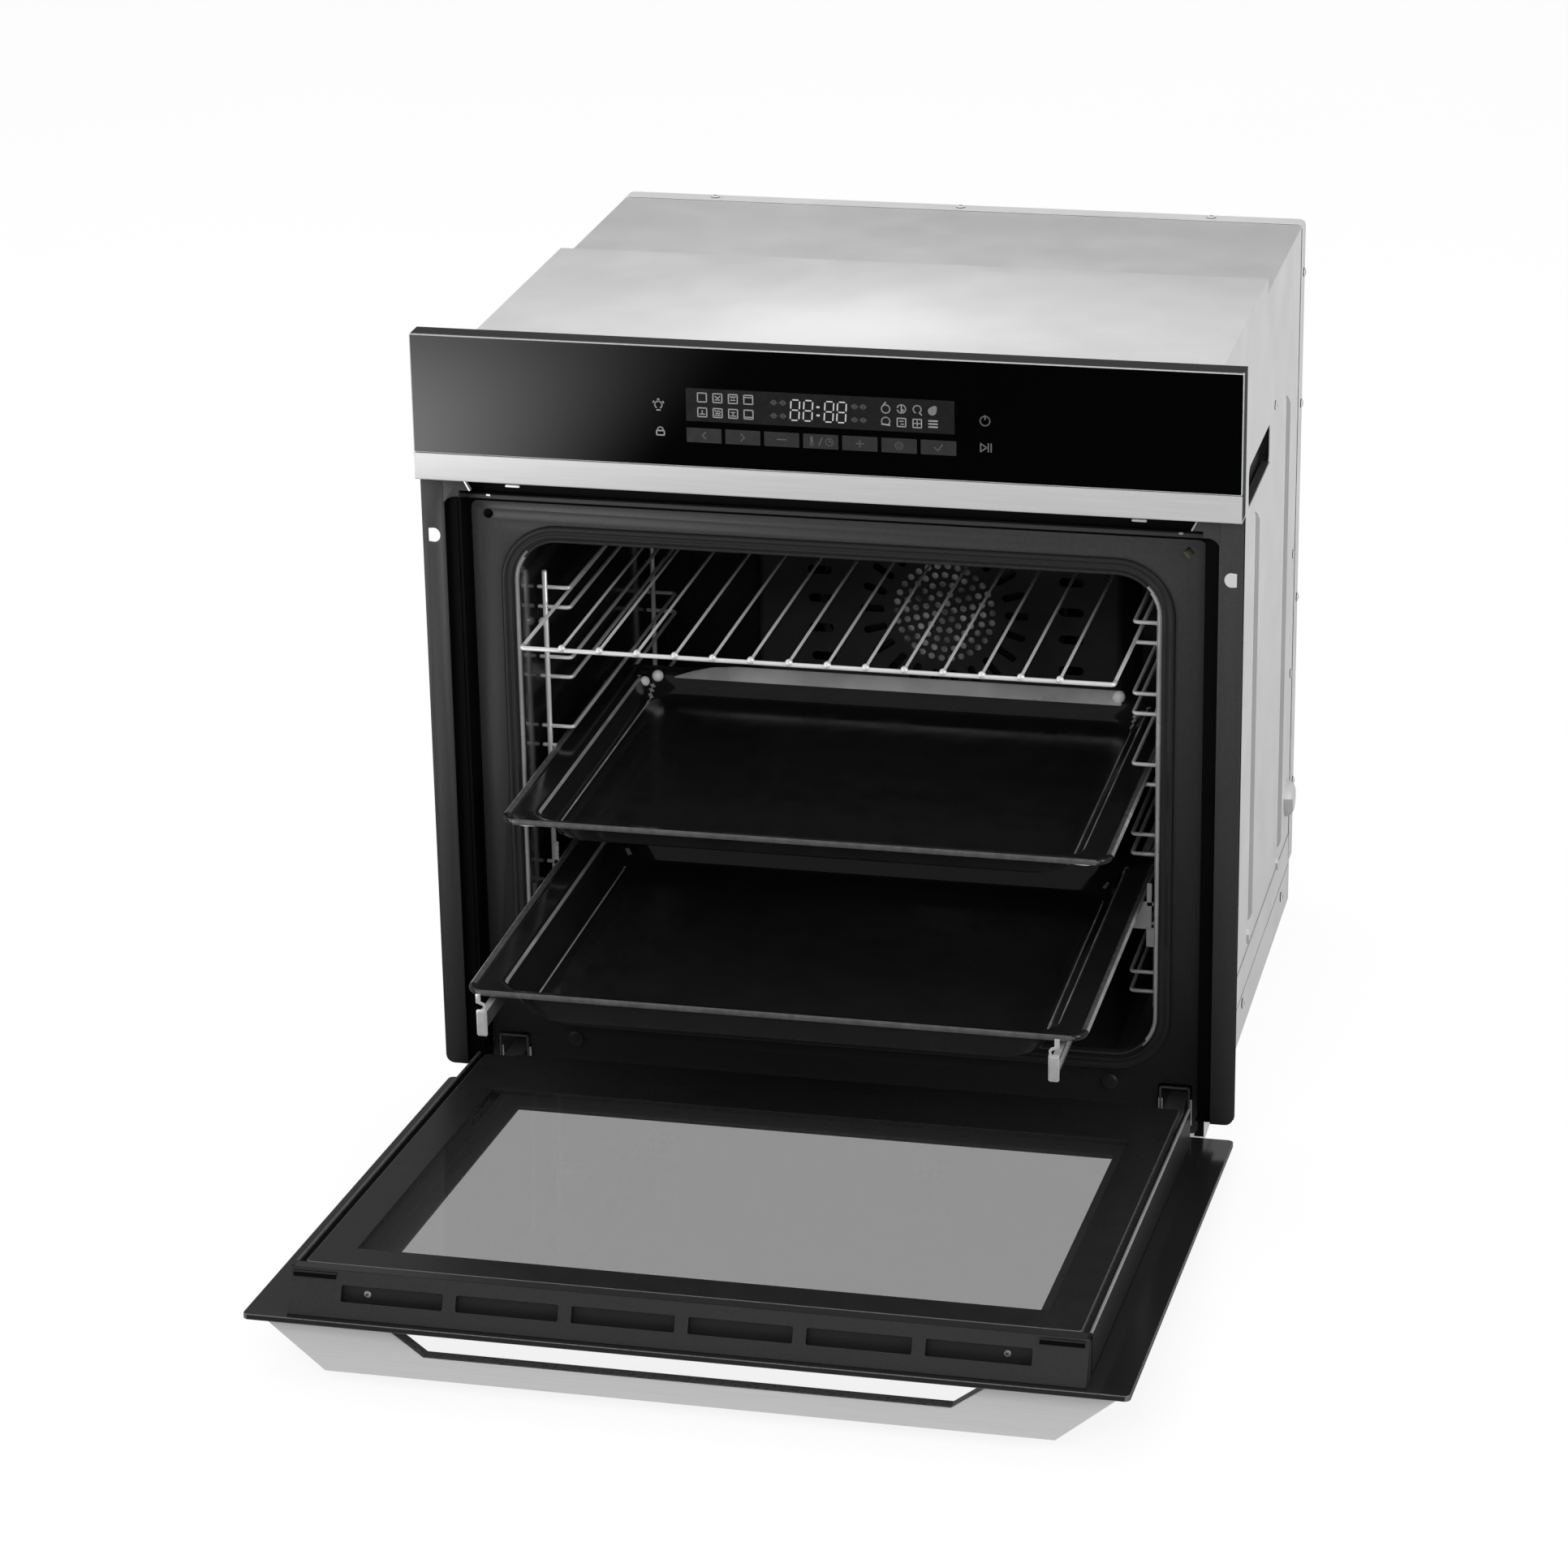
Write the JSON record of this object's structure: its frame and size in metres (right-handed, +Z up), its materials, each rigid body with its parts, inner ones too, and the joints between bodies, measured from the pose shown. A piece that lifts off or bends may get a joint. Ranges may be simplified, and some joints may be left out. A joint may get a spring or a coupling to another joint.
{
  "type": "built-in wall oven",
  "caption": "Built-in electric wall oven with a touch control panel, a drop-down glazed door held open, and a wire rack and two trays drawn partly out.",
  "frame": {"origin": "centre of the base pan's underside, which rests on the shelf of the cabinet", "axes": "+X to the right as the user faces the oven, +Y from the user towards the rear, +Z up"},
  "size_m": [0.595, 0.9817, 0.6],
  "materials": {
    "galvanised": "plain galvanised sheet",
    "enamel": "gloss black enamel",
    "black_paint": "semi-gloss black",
    "steel": "brushed stainless steel",
    "chrome": "bright plated wire",
    "black_glass": "toughened glass printed black on its rear face, so it is opaque",
    "clear_glass": "polished",
    "rubber": "matt",
    "black_plastic": "satin",
    "mineral_wool": "fibrous",
    "circuit_board": "satin",
    "element": "oxidised metal sheath"
  },
  "bodies": {
    "oven": {"base_pan": "galvanised", "side_panel_left": "galvanised", "side_panel_right": "galvanised", "top_cover": "galvanised", "rear_cover": "galvanised", "chassis_front": "enamel", "side_flange_left": "black_paint", "side_flange_right": "black_paint", "door_bumper_left": "rubber", "door_bumper_right": "rubber", "door_gasket": "rubber", "cavity": "enamel", "fan_cover": "enamel", "ring_element": "element", "grill_element": "element", "bottom_element": "element", "insulation": "mineral_wool", "lamp_holder": "galvanised", "lamp_lens": "clear_glass", "side_rack_left": "chrome", "side_rack_right": "chrome", "runner_rail_left": "steel", "runner_rail_right": "steel", "control_glass": "black_glass", "panel_trim": "steel", "panel_carrier": "black_plastic", "display_module": "black_plastic", "control_board": "circuit_board", "terminal_block": "black_plastic", "carry_cup_left": "black_plastic", "carry_cup_right": "black_plastic", "cooling_duct": "galvanised", "blower_housing": "galvanised", "blower_motor": "galvanised", "fan_motor": "galvanised", "hinge_case_left": "galvanised", "hinge_case_right": "galvanised", "hinge_pin_left": "steel", "hinge_pin_right": "steel"},
    "door": {"door_outer_glass": "black_glass", "door_middle_glass": "clear_glass", "door_inner_glass": "clear_glass", "door_side_left": "black_paint", "door_side_right": "black_paint", "door_bottom_bar": "black_paint", "door_top_trim": "black_plastic", "door_clip_left": "black_plastic", "door_clip_right": "black_plastic", "door_handle": "steel", "hinge_arm_left": "galvanised", "hinge_arm_right": "galvanised"},
    "deep_tray_set": {"deep_tray": "enamel", "runner_slide_left": "steel", "runner_slide_right": "steel"},
    "shallow_tray": {"shallow_tray": "enamel"},
    "wire_rack": {"wire_rack": "chrome"},
    "convection_fan": {"convection_fan": "galvanised"},
    "blower_wheel": {"blower_wheel": "galvanised"}
  },
  "joints": [
    {"name": "door_hinge", "type": "hinge", "parent": "oven", "child": "door", "pos_m": [0, -0.2641, 0.0204], "axis": [-1, 0, 0], "range_deg": [0, 85]},
    {"name": "deep_tray_slide", "type": "slide", "parent": "oven", "child": "deep_tray_set", "axis": [0, 1, 0], "range_m": [0, 0.2605]},
    {"name": "shallow_tray_slide", "type": "slide", "parent": "oven", "child": "shallow_tray", "axis": [0, 1, 0], "range_m": [0, 0.1405]},
    {"name": "wire_rack_slide", "type": "slide", "parent": "oven", "child": "wire_rack", "axis": [0, 1, 0], "range_m": [0, 0.0805]},
    {"name": "convection_fan_spin", "type": "hinge", "parent": "oven", "child": "convection_fan", "pos_m": [0, 0.1565, 0.263], "axis": [0, 1, 0], "continuous": true},
    {"name": "blower_spin", "type": "hinge", "parent": "oven", "child": "blower_wheel", "pos_m": [0, -0.018, 0.524], "axis": [0, 0, 1], "continuous": true}
  ],
  "couplings": [
    {"joint": "deep_tray_slide", "follows": "door_hinge", "m_per_rad": 0.17526},
    {"joint": "shallow_tray_slide", "follows": "door_hinge", "m_per_rad": 0.09437},
    {"joint": "wire_rack_slide", "follows": "door_hinge", "m_per_rad": 0.05393}
  ]
}
